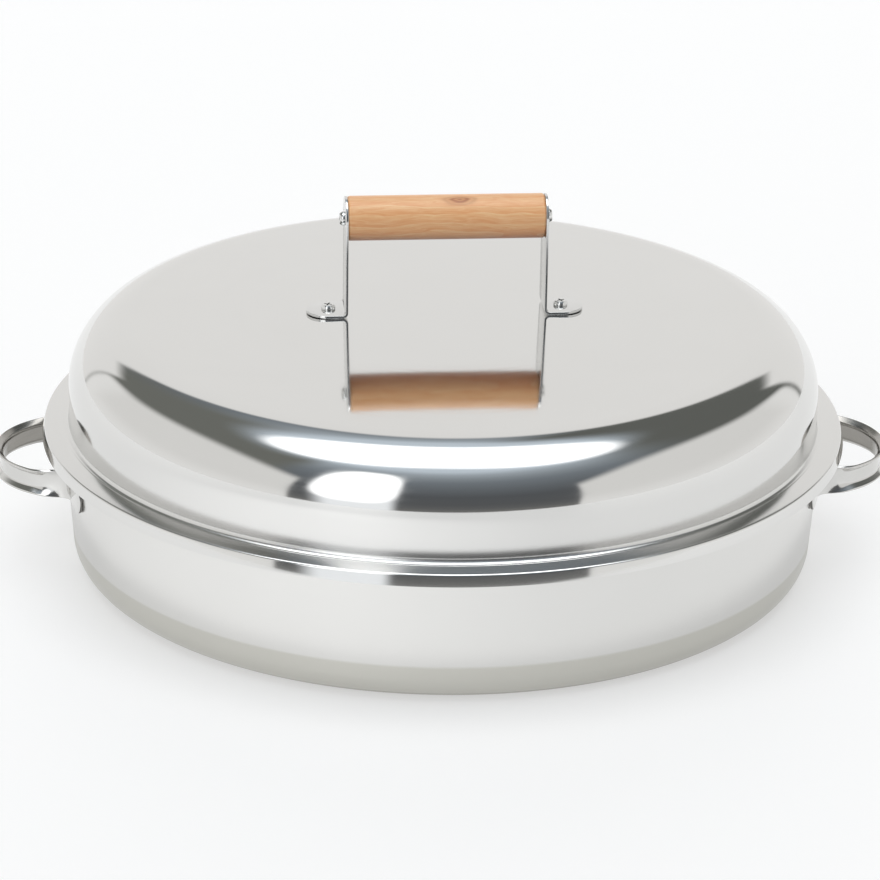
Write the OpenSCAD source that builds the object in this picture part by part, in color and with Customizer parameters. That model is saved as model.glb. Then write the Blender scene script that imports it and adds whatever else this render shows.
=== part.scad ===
// Round stovetop and grill smoker: a deep pan, a domed lid with a wooden
// grip, a drip tray and a food grate. All sizes are in millimetres.
// The base rests on z = 0, the pan handles point along x.

/* [Pan] */
// Radius over the bend from the flange of the lid into its skirt
rim_r = 225.5; // [205:0.5:245]
// Height of the pan from the base to the top of its flange
pan_h = 80.4; // [66:0.2:100]
// Sheet thickness of the pan
pan_t = 1; // [0.8:0.1:1.5]
// Width of the step from that bend in to the wall of the pan
wall_step = 10.5; // [9:0.5:14]
// Outward lean of the wall in degrees
wall_lean = 4; // [0:0.5:7]
// Outside radius of the rounded base corner
base_corner = 15; // [8:0.5:22]
// Radius under the bend from the wall to the flange
flange_bend = 2.4; // [1.5:0.1:3]
// Height of the turned-down hem of the flange
hem_h = 4; // [3:0.5:5]
// Outside radius of the bend into the hem
hem_bend = 2; // [1.8:0.1:2.4]

/* [Pan handles] */
// Height of the handle strap
strap_h = 15.4; // [13:0.2:16.4]
// Thickness of the strip that the strap is bent from
strap_t = 1.6; // [1.2:0.1:2.2]
// Height of the flat web between the two lips of the strap
web_h = 6.2; // [4.4:0.2:7]
// Outward turn of the lips in degrees
lip_angle = 50; // [25:1:56]
// Radius in the hollow of the bends into the lips
lip_bend = 1.6; // [1:0.1:2]
// Height of the middle of the strap above the table
strap_z = 56.5; // [40:0.5:60]
// Radius of the half-round loop at the middle of the web
loop_r = 41.7; // [36:0.1:50]
// Distance that the loop centre lies inside the wall
loop_inset = 5; // [2:0.5:9]
// Bend radius from the loop into the tab
root_bend = 8; // [6:0.5:12]
// Length of each tab along the wall
tab_len = 23; // [18:0.5:30]
// Radius of the rounded end of each tab
tab_round = 9.5; // [9:0.5:12]

/* [Lid] */
// Sheet thickness of the lid
lid_t = 0.8; // [0.6:0.1:1.2]
// Height of the skirt that caps the flange of the pan
skirt_h = 6.5; // [5:0.5:9]
// Outward flare of the skirt in degrees
skirt_flare = 12; // [0:1:18]
// Outside radius of the bend into the skirt
skirt_bend = 1.4; // [1.2:0.1:2]
// Width of the flat flange of the lid, skirt bend included
lid_flange_w = 11.1; // [10.7:0.2:13.1]
// Radius of the hollow cove between flange and dome
cove_r = 3.2; // [3.1:0.1:4.2]
// Distance that the widest part of the dome lies inside the flat flange
bulge_step = 3; // [2.4:0.1:3]
// Height of the widest part of the dome above the flange
bulge_h = 21.3; // [18:0.1:25]
// Radius of the shoulder of the dome
shoulder_r = 38.2; // [30:0.2:46]
// Rise of the crown of the dome above its shoulder
crown_rise = 3.9; // [2.5:0.1:8]
// How far the lid is turned on the pan, in degrees
lid_turn = 2.5; // [-180:0.5:180]

/* [Lid handle] */
// Diameter of the wooden grip
grip_d = 25; // [20:0.5:30]
// Length of the wooden grip
grip_len = 110; // [90:1:140]
// Height of the grip axis above the top of the lid
grip_h = 54.4; // [40:0.2:70]
// Rounding of the edges of the grip
grip_round = 1.5; // [0.5:0.1:3]
// Thickness of the bracket strip
bracket_t = 1.5; // [1:0.1:2.5]
// Inside radius of the bend of the bracket
bracket_bend = 1.6; // [1:0.1:3]
// Distance from the leg of the bracket to its lid screw
foot_reach = 9; // [8:0.5:16]

/* [Screws] */
// Diameter of the pan heads
head_d = 8; // [7:0.1:9]
// Height of the pan heads
head_h = 2.8; // [2.2:0.1:3.4]
// Diameter of the machine screws in the lid
bolt_d = 4; // [3:0.5:5]
// Diameter of the wood screws in the grip
wood_screw_d = 3.6; // [3:0.1:4.5]
// Length of the wood screws in the grip
wood_screw_len = 26; // [16:1:40]
// Width of the nuts over their flats
nut_af = 7; // [7:0.5:9]
// Height of the nuts
nut_h = 3.2; // [2.4:0.1:4]
// Diameter of the washers
washer_d = 9; // [8:0.5:12]
// Thickness of the washers
washer_t = 0.8; // [0.6:0.1:1.2]

/* [Drip tray] */
// Depth of the drip tray
tray_depth = 15; // [10:0.5:20]
// Sheet thickness of the drip tray
tray_t = 0.8; // [0.6:0.1:1]
// Corner radius between the floor and the wall of the tray
tray_corner = 6; // [4:0.5:9]
// Width of the flat rim of the tray
tray_rim = 5; // [4:0.5:8]
// Height of the feet of the tray, the room for wood chips
foot_h = 18; // [12:1:24]
// Length of each foot of the tray
foot_len = 40; // [24:1:60]
// Width of each foot of the tray
foot_w = 16; // [12:1:24]
// Thickness of the strip that the feet are bent from
foot_t = 1; // [0.8:0.1:2]
// Distance of the feet from the middle of the tray
foot_place = 135; // [90:1:150]

/* [Grate] */
// Diameter of the ring, leg, bar and handle wires
frame_wire = 4; // [3:0.5:5]
// Diameter of the food wires
food_wire = 2.6; // [2:0.2:3]
// Distance between the food wires
wire_pitch = 13; // [10:1:20]
// Height of the grate above the floor of the tray
grate_h = 30; // [22:1:36]
// Distance of the cross bars from the middle
bar_x = 78; // [50:1:100]
// Width of the legs of the grate
leg_w = 34; // [24:1:50]
// Width of the lift handles of the grate
lift_w = 70; // [50:1:90]
// Height of the lift handles above the ring
lift_h = 16; // [12:1:20]
// Bend radius of the legs and lift handles, to the middle of the wire
wire_bend = 6; // [4:0.5:9]

/* [Clearances] */
// Gap between the flange of the pan and the skirt of the lid
rim_gap = 1.7; // [0.8:0.1:3]
// Gap between a tab and the wall it is spot-welded to
weld_gap = 0.25; // [0.15:0.05:0.4]
// Gap between the rim of the drip tray and the start of the base corner of the pan
tray_gap = 7.4; // [4:0.2:20]
// Gap between the wall of the drip tray and the middle of the ring of the grate
ring_gap = 15; // [12:1:30]
// Least gap between the last food wire and the ring
edge_gap = 11; // [8:1:20]
// Gap between a wire and its neighbour at a weld
wire_gap = 0.2; // [0.1:0.05:0.4]
// Gap all around a screw in its hole
screw_gap = 0.3; // [0.2:0.05:0.5]
// Gap between the flat foot of a bracket and the crowned lid
foot_gap = 0.06; // [0.04:0.01:0.2]

/* [Hidden] */
$fn = 96;
crown_fn = 2880;
lean_tan = tan(wall_lean);
wall_r = rim_r - wall_step;
flange_r = rim_r - lid_t - rim_gap;
corner_r = wall_r - (pan_h - base_corner) * lean_tan - base_corner / cos(wall_lean);
bend_z = pan_h - pan_t - flange_bend;
bend_r = wall_r - (pan_h - bend_z) * lean_tan + flange_bend / cos(wall_lean);
lip_len = ((strap_h - web_h) / 2 - (lip_bend + strap_t) * sin(lip_angle)) / cos(lip_angle);
strip_w = hundredth(web_h + 2 * lip_len + (2 * lip_bend + strap_t) * lip_angle * PI / 180);
loop_x = wall_r - (pan_h - strap_z) * lean_tan - loop_inset;
tab_top_r = wall_r - (pan_h - strap_z - strip_w / 2) * lean_tan;
tab_low_r = wall_r - (pan_h - strap_z + strip_w / 2) * lean_tan;
root_r = tab_top_r + weld_gap + strap_t / 2;
root_x = (pow(root_r + root_bend, 2) + loop_x * loop_x - pow(loop_r + root_bend, 2)) / (2 * loop_x);
root_y = sqrt(pow(root_r + root_bend, 2) - root_x * root_x);
root_angle = atan2(root_y, root_x);
loop_angle = atan2(root_y, root_x - loop_x);
tab_angle = tab_len / root_r * 180 / PI;
root_lap = 1;
root_slim = 0.98;
flange_z = pan_h + lid_t;
cove_x = rim_r - lid_flange_w;
bulge_r = cove_x - bulge_step;
bulge_z = flange_z + bulge_h;
low_dx = cove_x - bulge_r;
low_dz = bulge_h - cove_r;
low_r = (low_dx * low_dx + low_dz * low_dz - cove_r * cove_r) / (2 * (cove_r - low_dx));
low_angle = atan2(low_dz, low_dx + low_r);
dome_z = bulge_z + shoulder_r + crown_rise;
crown_x = bulge_r - shoulder_r;
crown_d = dome_z - bulge_z;
crown_r = (crown_x * crown_x + crown_d * crown_d - shoulder_r * shoulder_r) / (2 * crown_rise);
crown_z = dome_z - crown_r;
crown_angle = atan2(bulge_z - crown_z, crown_x);
leg_x = grip_len / 2;
screw_x = leg_x + bracket_t + foot_reach;
grip_z = dome_z + grip_h;
foot_z = hundredth(crown_z + sqrt(crown_r * crown_r - leg_x * leg_x) + foot_gap);
inner_r = crown_r - lid_t;
washer_z = hundredth(crown_z + sqrt(inner_r * inner_r - pow(screw_x + washer_d / 2, 2)) - foot_gap / 2);
tray_z = pan_t + foot_h;
tray_r = corner_r - tray_gap;
tray_wall = tray_r - tray_rim;
ring_r = tray_wall - ring_gap;
grate_z = tray_z + tray_t + grate_h;
wire_z = grate_z + frame_wire / 2 + wire_gap + food_wire / 2;
wire_n = floor((ring_r - edge_gap) / wire_pitch);
cut = 40;

// Heights that several pieces share are kept to a hundredth of a millimetre
function hundredth(v) = round(v * 100) / 100;

// A bent strip of sheet in section: inner radius, sheet, start and end angle
module bend(x, z, r, t, a0, a1) {
  far = 2 * (r + t);
  mid = (a0 + a1) / 2;
  translate([x, z])
    intersection() {
      difference() {
        circle(r + t);
        circle(r);
      }
      polygon([[0, 0], far * [cos(a0), sin(a0)], far * [cos(mid), sin(mid)],
        far * [cos(a1), sin(a1)]]);
    }
}

// Section of the pan from the middle of the floor to the hem of the flange
module pan_section() {
  wall_x = corner_r + base_corner * cos(wall_lean);
  wall_z = base_corner - base_corner * sin(wall_lean);
  top_x = bend_r - flange_bend * cos(wall_lean);
  top_z = bend_z + flange_bend * sin(wall_lean);
  in_x = pan_t * cos(wall_lean);
  in_z = pan_t * sin(wall_lean);
  hem_x = flange_r - hem_bend;
  square([corner_r, pan_t]);
  bend(corner_r, base_corner, base_corner - pan_t, pan_t, -90, -wall_lean);
  polygon([[wall_x, wall_z], [top_x, top_z], [top_x - in_x, top_z + in_z],
    [wall_x - in_x, wall_z + in_z]]);
  bend(bend_r, bend_z, flange_bend, pan_t, 90, 180 - wall_lean);
  polygon([[bend_r, pan_h - pan_t], [hem_x, pan_h - pan_t], [hem_x, pan_h], [bend_r, pan_h]]);
  bend(hem_x, pan_h - hem_bend, hem_bend - pan_t, pan_t, 0, 90);
  translate([flange_r - pan_t, pan_h - hem_h]) square([pan_t, hem_h - hem_bend]);
}

module pan_shell() {
  color([0.78, 0.79, 0.79]) rotate_extrude() pan_section();
}

// Section of the handle strap: a flat web with two lips turned out along +x
module strap_section() {
  turn_x = strap_t / 2 + lip_bend;
  translate([-strap_t / 2, -web_h / 2]) square([strap_t, web_h]);
  for (m = [0, 1])
    mirror([0, m]) {
      bend(turn_x, web_h / 2, lip_bend, strap_t, 180 - lip_angle, 180);
      translate([turn_x, web_h / 2])
        rotate(-lip_angle) translate([-lip_bend - strap_t, 0]) square([strap_t, lip_len]);
    }
}

// One flattened tab, bent round the wall and rounded at its end
module handle_tab() {
  lap = 4;
  lap_angle = lap / root_r * 180 / PI;
  intersection() {
    rotate([0, 0, root_angle - lap_angle / 3])
      rotate_extrude(angle = tab_angle + 2 * lap_angle)
        polygon([[tab_low_r + weld_gap, strap_z - strip_w / 2],
          [tab_low_r + weld_gap + strap_t, strap_z - strip_w / 2],
          [tab_top_r + weld_gap + strap_t, strap_z + strip_w / 2],
          [tab_top_r + weld_gap, strap_z + strip_w / 2]]);
    rotate([0, 0, root_angle + tab_angle / 2])
      translate([root_r - cut / 2, 0, strap_z])
        rotate([90, 0, 90])
          linear_extrude(cut) {
            translate([-tab_len / 2 - lap, -strip_w / 2]) square([tab_len + lap - tab_round, strip_w]);
            translate([tab_len / 2 - tab_round, 0])
              intersection() {
                circle(tab_round);
                translate([-tab_round, -strip_w / 2]) square([2 * tab_round, strip_w]);
              }
          }
  }
}

// One loop on the +x side, symmetric about the x axis.
// The lips end where the strip is flattened for the bend into each tab.
module pan_handle() {
  translate([loop_x, 0, strap_z])
    rotate([0, 0, -loop_angle])
      rotate_extrude(angle = 2 * loop_angle)
        translate([loop_r, 0]) strap_section();
  for (s = [0, 1])
    mirror([0, s, 0]) {
      translate([root_x, root_y, strap_z])
        rotate([0, 0, 180 + root_angle])
          rotate_extrude(angle = loop_angle - root_angle + root_lap)
            translate([root_bend, 0]) scale(root_slim) square([strap_t, strip_w], center = true);
      handle_tab();
    }
}

module right_pan_handle() {
  color([0.74, 0.75, 0.75]) pan_handle();
}

module left_pan_handle() {
  color([0.74, 0.75, 0.75]) mirror([1, 0, 0]) pan_handle();
}

// Section of the lid from the skirt to the middle of the crown
module lid_section() {
  edge_x = rim_r - skirt_bend;
  edge_z = flange_z - skirt_bend;
  skirt_len = (skirt_h - skirt_bend + skirt_bend * sin(skirt_flare)) / cos(skirt_flare);
  translate([edge_x, edge_z])
    rotate(skirt_flare) translate([skirt_bend - lid_t, -skirt_len]) square([lid_t, skirt_len]);
  bend(edge_x, edge_z, skirt_bend - lid_t, lid_t, skirt_flare, 90);
  translate([cove_x, flange_z - lid_t]) square([edge_x - cove_x, lid_t]);
  bend(cove_x, flange_z + cove_r, cove_r, lid_t, 180 - low_angle, 270);
  bend(bulge_r - low_r, bulge_z, low_r - lid_t, lid_t, -low_angle, 0, $fn = crown_fn / 4);
  bend(crown_x, bulge_z, shoulder_r - lid_t, lid_t, 0, crown_angle);
  bend(0, crown_z, crown_r - lid_t, lid_t, crown_angle, 90, $fn = crown_fn);
}

module lid_shell() {
  color([0.80, 0.81, 0.81])
    difference() {
      rotate_extrude() lid_section();
      for (s = [-1, 1])
        rotate([0, 0, lid_turn])
          translate([s * screw_x, 0, dome_z - cut / 2]) cylinder(h = cut, d = bolt_d + 2 * screw_gap);
    }
}

// Bracket on the +x side: rounded leg, bend and rounded foot
module bracket() {
  bend_out = bracket_bend + bracket_t;
  difference() {
    union() {
      translate([leg_x, 0, 0])
        rotate([90, 0, 90])
          linear_extrude(bracket_t) {
            translate([0, grip_z]) circle(d = grip_d);
            translate([-grip_d / 2, foot_z + bend_out]) square([grip_d, grip_z - foot_z - bend_out]);
          }
      translate([leg_x + bend_out, grip_d / 2, foot_z + bend_out])
        rotate([90, 0, 0])
          linear_extrude(grip_d) bend(0, 0, bracket_bend, bracket_t, 180, 270);
      translate([0, 0, foot_z])
        linear_extrude(bracket_t) {
          intersection() {
            translate([screw_x, 0]) circle(d = grip_d);
            translate([screw_x, -grip_d]) square(2 * grip_d);
          }
          translate([leg_x + bend_out, -grip_d / 2]) square([screw_x - leg_x - bend_out, grip_d]);
        }
    }
    translate([screw_x, 0, foot_z - cut / 2]) cylinder(h = cut, d = bolt_d + 2 * screw_gap);
    translate([leg_x - cut / 2, 0, grip_z])
      rotate([0, 90, 0]) cylinder(h = cut, d = wood_screw_d + 2 * screw_gap);
  }
}

module right_bracket() {
  color([0.70, 0.71, 0.71]) rotate([0, 0, lid_turn]) bracket();
}

module left_bracket() {
  color([0.70, 0.71, 0.71]) rotate([0, 0, lid_turn]) mirror([1, 0, 0]) bracket();
}

module wooden_grip() {
  body_r = grip_d / 2;
  hole_len = wood_screw_len + 1;
  color([0.86, 0.67, 0.47])
    rotate([0, 0, lid_turn])
      translate([-grip_len / 2, 0, grip_z])
        rotate([0, 90, 0])
          difference() {
            rotate_extrude() {
              square([body_r - grip_round, grip_len]);
              translate([0, grip_round]) square([body_r, grip_len - 2 * grip_round]);
              for (y = [grip_round, grip_len - grip_round])
                translate([body_r - grip_round, y]) circle(grip_round);
            }
            for (y = [hole_len - cut, grip_len - hole_len])
              translate([0, 0, y]) cylinder(h = cut, d = wood_screw_d + 2 * screw_gap);
          }
}

// Pan head with a cross recess, its seat at z = 0 and its shank downwards
module pan_screw(d, len) {
  side_h = head_h * 0.38;
  dome = head_h - side_h + head_h * 0.48;
  ball_r = (pow(head_d / 2, 2) + dome * dome) / (2 * dome);
  recess_len = head_d * 0.58;
  recess_w = head_d * 0.12;
  recess_depth = head_h * 0.5;
  difference() {
    union() {
      intersection() {
        cylinder(h = head_h, d = head_d);
        translate([0, 0, side_h + dome - ball_r]) sphere(ball_r);
      }
      translate([0, 0, -len]) cylinder(h = len + head_h / 2, d = d);
    }
    for (a = [0, 90])
      rotate([0, 0, a])
        translate([-recess_len / 2, -recess_w / 2, head_h - recess_depth])
          cube([recess_len, recess_w, head_h]);
  }
}

// Machine screw through the foot of a bracket and the lid
module lid_screw(s) {
  tip = 1.6;
  recess_turn = 24;
  len = foot_z + bracket_t - washer_z + washer_t + nut_h + tip;
  color([0.82, 0.83, 0.83])
    rotate([0, 0, lid_turn])
      translate([s * screw_x, 0, foot_z + bracket_t])
        rotate([0, 0, recess_turn * s]) pan_screw(bolt_d, len);
}

module left_lid_screw() {
  lid_screw(-1);
}

module right_lid_screw() {
  lid_screw(1);
}

// Wood screw through the leg of a bracket into the end of the grip
module grip_screw(s) {
  recess_turn = 35;
  color([0.82, 0.83, 0.83])
    rotate([0, 0, lid_turn])
      translate([s * (leg_x + bracket_t), 0, grip_z])
        rotate([0, s * 90, 0])
          rotate([0, 0, recess_turn]) pan_screw(wood_screw_d, wood_screw_len);
}

module left_grip_screw() {
  grip_screw(-1);
}

module right_grip_screw() {
  grip_screw(1);
}

module lid_washer(s) {
  color([0.72, 0.73, 0.73])
    rotate([0, 0, lid_turn])
      translate([s * screw_x, 0, washer_z - washer_t])
        difference() {
          cylinder(h = washer_t, d = washer_d);
          translate([0, 0, -cut / 2]) cylinder(h = cut, d = bolt_d + 2 * screw_gap);
        }
}

module left_lid_washer() {
  lid_washer(-1);
}

module right_lid_washer() {
  lid_washer(1);
}

module lid_nut(s) {
  color([0.72, 0.73, 0.73])
    rotate([0, 0, lid_turn])
      translate([s * screw_x, 0, washer_z - washer_t - nut_h])
        difference() {
          cylinder(h = nut_h, d = nut_af / cos(30), $fn = 6);
          translate([0, 0, -cut / 2]) cylinder(h = cut, d = bolt_d + 2 * screw_gap);
        }
}

module left_lid_nut() {
  lid_nut(-1);
}

module right_lid_nut() {
  lid_nut(1);
}

module drip_tray() {
  wall_in = tray_wall - tray_t;
  low_x = tray_wall - tray_corner;
  rim_z = tray_z + tray_depth;
  color([0.74, 0.75, 0.75])
    rotate_extrude() {
      translate([0, tray_z]) square([low_x, tray_t]);
      bend(low_x, tray_z + tray_corner, tray_corner - tray_t, tray_t, -90, 0);
      translate([wall_in, tray_z + tray_corner]) square([tray_t, tray_depth - tray_corner]);
      translate([wall_in, rim_z - tray_t]) square([tray_r - wall_in, tray_t]);
    }
}

// Four channel strips under the tray
module tray_feet() {
  color([0.70, 0.71, 0.71])
    for (a = [45 : 90 : 315])
      rotate([0, 0, a])
        translate([foot_place, 0, pan_t])
          difference() {
            translate([-foot_w / 2, -foot_len / 2, 0]) cube([foot_w, foot_len, foot_h]);
            translate([-cut / 2, -foot_len / 2 + foot_t, foot_t]) cube([cut, foot_len - 2 * foot_t, cut]);
          }
}

module grate_ring() {
  color([0.76, 0.77, 0.77])
    translate([0, 0, grate_z])
      rotate_extrude() translate([ring_r, 0]) circle(d = frame_wire);
}

// Thin parallel wires laid on the ring and the cross bars
module grate_wires() {
  color([0.80, 0.81, 0.81])
    for (i = [-wire_n : wire_n]) {
      half = sqrt(ring_r * ring_r - pow(i * wire_pitch, 2));
      translate([-half, i * wire_pitch, wire_z])
        rotate([0, 90, 0]) cylinder(h = 2 * half, d = food_wire);
    }
}

module grate_cross_bars() {
  reach = ring_r - frame_wire / 2 - wire_gap;
  half = sqrt(reach * reach - pow(bar_x + frame_wire / 2, 2)) - wire_gap;
  color([0.76, 0.77, 0.77])
    for (s = [-1, 1])
      translate([s * bar_x, -half, grate_z])
        rotate([-90, 0, 0]) cylinder(h = 2 * half, d = frame_wire);
}

// Bent wire: two uprights joined by a bow, in the xz plane, bow at the low end
module wire_bow(w, h) {
  for (s = [-1, 1])
    translate([s * (w / 2), 0, wire_bend]) {
      cylinder(h = h - wire_bend, d = frame_wire);
      rotate([90, 0, 0])
        translate([-s * wire_bend, 0, 0])
          rotate([0, 0, s > 0 ? -90 : 180])
            rotate_extrude(angle = 90) translate([wire_bend, 0]) circle(d = frame_wire);
    }
  translate([-w / 2 + wire_bend, 0, 0]) rotate([0, 90, 0]) cylinder(h = w - 2 * wire_bend, d = frame_wire);
}

// Legs inside the ring, standing on the floor of the tray
module grate_legs() {
  low = tray_z + tray_t + wire_gap + frame_wire / 2;
  seat = sqrt(pow(ring_r - frame_wire - wire_gap, 2) - pow(leg_w / 2, 2));
  color([0.76, 0.77, 0.77])
    for (a = [45 : 90 : 315])
      rotate([0, 0, a])
        translate([seat, 0, low])
          rotate([0, 0, 90]) wire_bow(leg_w, grate_z - low + frame_wire / 2 - wire_gap);
}

// Lift handles outside the ring at both ends of the x axis
module grate_lift_handles() {
  top = grate_z + frame_wire / 2 + lift_h;
  seat = sqrt(pow(ring_r + frame_wire + wire_gap, 2) - pow(lift_w / 2, 2));
  color([0.76, 0.77, 0.77])
    for (a = [0, 180])
      rotate([0, 0, a])
        translate([seat, 0, top])
          rotate([180, 0, 90]) wire_bow(lift_w, lift_h + frame_wire);
}

pan_shell();
left_pan_handle();
right_pan_handle();
lid_shell();
left_bracket();
right_bracket();
wooden_grip();
left_grip_screw();
right_grip_screw();
left_lid_screw();
right_lid_screw();
left_lid_washer();
right_lid_washer();
left_lid_nut();
right_lid_nut();
drip_tray();
tray_feet();
grate_ring();
grate_wires();
grate_cross_bars();
grate_legs();
grate_lift_handles();
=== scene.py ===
# A round smoker: a deep polished pan with loop handles, a domed lid with a wooden grip, and inside it
# a drip tray and a wire food grate. The sections follow the order in which the object is put together.
import math

import bmesh
import bpy
from mathutils import Matrix, Vector


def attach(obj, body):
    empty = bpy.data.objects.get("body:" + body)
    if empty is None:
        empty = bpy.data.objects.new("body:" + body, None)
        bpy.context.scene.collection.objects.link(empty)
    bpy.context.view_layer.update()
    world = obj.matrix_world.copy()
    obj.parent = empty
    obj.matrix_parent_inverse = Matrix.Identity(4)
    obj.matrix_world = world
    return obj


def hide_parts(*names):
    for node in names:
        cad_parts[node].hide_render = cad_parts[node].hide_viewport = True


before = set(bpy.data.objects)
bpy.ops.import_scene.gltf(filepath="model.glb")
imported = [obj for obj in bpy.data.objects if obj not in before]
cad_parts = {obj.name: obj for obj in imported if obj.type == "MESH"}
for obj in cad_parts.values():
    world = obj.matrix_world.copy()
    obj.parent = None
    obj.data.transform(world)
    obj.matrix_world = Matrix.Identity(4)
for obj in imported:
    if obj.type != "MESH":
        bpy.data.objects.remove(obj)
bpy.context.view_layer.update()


# Pan shell
# One pressed stainless sheet: a flat floor, a rounded base corner, a leaning wall and a hemmed flange.
# It is drawn on a press and polished while it turns, so fine lines run round its wall; painted shade darkens
# its base corner and a painted contact shadow runs along its foot.
mm = 0.001
rim_r = 225.5
pan_h = 80.4
pan_t = 1.0
wall_r = 215.0
wall_lean = 4
lean_tan = math.tan(math.radians(wall_lean))
lean_cos = math.cos(math.radians(wall_lean))
base_corner = 15.0
flange_bend = 2.4
hem_h = 4.0
hem_bend = 2.0
flange_r = 223.0
corner_r = wall_r - (pan_h - base_corner) * lean_tan - base_corner / lean_cos
bend_z = pan_h - pan_t - flange_bend
bend_r = wall_r - (pan_h - bend_z) * lean_tan + flange_bend / lean_cos
hem_x = flange_r - hem_bend


def arc(x, z, r, start, end, steps):
    angles = [math.radians(start + (end - start) * i / steps) for i in range(steps + 1)]
    return [(x + r * math.cos(a), z + r * math.sin(a)) for a in angles]


pan_section = [(0, 0)]
pan_section += arc(corner_r, base_corner, base_corner, -90, -wall_lean, 16)
pan_section += arc(bend_r, bend_z, flange_bend, 180 - wall_lean, 90, 8)
pan_section += arc(hem_x, pan_h - hem_bend, hem_bend - pan_t, 90, 0, 5)
pan_section += [(flange_r - pan_t, pan_h - hem_h), (flange_r, pan_h - hem_h)]
pan_section += arc(hem_x, pan_h - hem_bend, hem_bend, 0, 90, 8)
pan_section += arc(bend_r, bend_z, flange_bend + pan_t, 90, 180 - wall_lean, 8)
pan_section += arc(corner_r, base_corner, base_corner - pan_t, -wall_lean, -90, 14)
pan_section += [(0, pan_t)]


def new_tree(name, kind, inputs, outputs):
    tree = bpy.data.node_groups.new(name, kind)
    for way, sockets in (("INPUT", inputs), ("OUTPUT", outputs)):
        for label, value in sockets.items():
            tree.interface.new_socket(label, in_out=way, socket_type="NodeSocket" + value)
    return tree


def add_node(tree, kind, **settings):
    node = tree.nodes.new(kind)
    for key, value in settings.items():
        setattr(node, key, value)
    return node


def feed(tree, node, **inputs):
    for key, value in inputs.items():
        socket = node.inputs[key.replace("_", " ")]
        if isinstance(value, bpy.types.NodeSocket):
            tree.links.new(value, socket)
        else:
            socket.default_value = value


def node_sum(tree, kind, *terms):
    node = add_node(tree, "ShaderNodeMath", operation=kind)
    for socket, term in zip(node.inputs, terms):
        if isinstance(term, bpy.types.NodeSocket):
            tree.links.new(term, socket)
        else:
            socket.default_value = term
    return node.outputs["Value"]


spin_inputs = {"Section": "Geometry", "Steps": "Int", "Sweep radius": "Float", "Finish": "Material"}
spun_sheet = new_tree("spun_sheet", "GeometryNodeTree", spin_inputs, {"Sheet": "Geometry"})
spin_in = spun_sheet.nodes.new("NodeGroupInput")
spin_line = spun_sheet.nodes.new("GeometryNodeMeshToCurve")
feed(spun_sheet, spin_line, Mesh=spin_in.outputs["Section"])
spin_path = spun_sheet.nodes.new("GeometryNodeCurvePrimitiveCircle")
feed(spun_sheet, spin_path, Resolution=spin_in.outputs["Steps"], Radius=spin_in.outputs["Sweep radius"])
spin_sweep = spun_sheet.nodes.new("GeometryNodeCurveToMesh")
feed(spun_sheet, spin_sweep, Curve=spin_path.outputs["Curve"], Profile_Curve=spin_line.outputs["Curve"])
spin_weld = spun_sheet.nodes.new("GeometryNodeMergeByDistance")
feed(spun_sheet, spin_weld, Geometry=spin_sweep.outputs["Mesh"], Distance=0.01 * mm)
spin_real = spun_sheet.nodes.new("GeometryNodeRealizeInstances")
feed(spun_sheet, spin_real, Geometry=spin_weld.outputs["Geometry"])
spin_paint = spun_sheet.nodes.new("GeometryNodeSetMaterial")
feed(spun_sheet, spin_paint, Geometry=spin_real.outputs["Geometry"], Material=spin_in.outputs["Finish"])
spin_out = spun_sheet.nodes.new("NodeGroupOutput")
feed(spun_sheet, spin_out, Sheet=spin_paint.outputs["Geometry"])


def new_piece(name, mesh):
    piece = bpy.data.objects.new(name, mesh)
    bpy.context.collection.objects.link(piece)
    return piece


def line_mesh(name, points):
    mesh = bpy.data.meshes.new(name)
    mesh.from_pydata(points, [(i, i + 1) for i in range(len(points) - 1)], [])
    return mesh


def tidy_mesh(mesh, crease):
    shape = bmesh.new()
    shape.from_mesh(mesh)
    bmesh.ops.recalc_face_normals(shape, faces=shape.faces)
    shape.to_mesh(mesh)
    shape.free()
    mesh.shade_smooth()
    mesh.set_sharp_from_angle(angle=math.radians(crease))


def run_tree(piece, tree, values, crease):
    modifier = piece.modifiers.new("shape", "NODES")
    modifier.node_group = tree
    for item in tree.interface.items_tree:
        if item.item_type == "SOCKET" and item.in_out == "INPUT" and item.name in values:
            modifier[item.identifier] = values[item.name]
    bpy.context.view_layer.update()
    graph = bpy.context.evaluated_depsgraph_get()
    mesh = bpy.data.meshes.new_from_object(piece.evaluated_get(graph), depsgraph=graph)
    piece.modifiers.remove(modifier)
    piece.data = mesh
    mesh.name = piece.name
    tidy_mesh(mesh, crease)


def spun(name, section, steps, finish, crease=35):
    sweep = 0.1
    points = [(r * mm - sweep, -z * mm, 0) for r, z in section]
    piece = new_piece(name, line_mesh(name, points))
    run_tree(piece, spun_sheet, {"Steps": steps, "Sweep radius": sweep, "Finish": finish}, crease)
    return piece


polish_inputs = {"Lines at": "Vector", "Clouds at": "Vector", "Cloud scale": "Float"}
polish_outputs = {"Lines": "Float", "Clouds": "Float", "Waves": "Float"}
polish = new_tree("polish", "ShaderNodeTree", polish_inputs, polish_outputs)
polish_in = polish.nodes.new("NodeGroupInput")
polish_out = polish.nodes.new("NodeGroupOutput")
polish_lines = polish.nodes.new("ShaderNodeTexNoise")
feed(polish, polish_lines, Vector=polish_in.outputs["Lines at"], Scale=1.0, Detail=4.0, Roughness=0.6)
polish_clouds = polish.nodes.new("ShaderNodeTexNoise")
feed(polish, polish_clouds, Vector=polish_in.outputs["Clouds at"], Scale=polish_in.outputs["Cloud scale"])
feed(polish, polish_clouds, Detail=5.0, Roughness=0.62, Distortion=0.6)
polish_waves = polish.nodes.new("ShaderNodeTexNoise")
feed(polish, polish_waves, Vector=polish_in.outputs["Clouds at"], Scale=11.0, Detail=1.0)
feed(polish, polish_out, Lines=polish_lines.outputs["Fac"], Clouds=polish_clouds.outputs["Fac"])
feed(polish, polish_out, Waves=polish_waves.outputs["Fac"])


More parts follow.
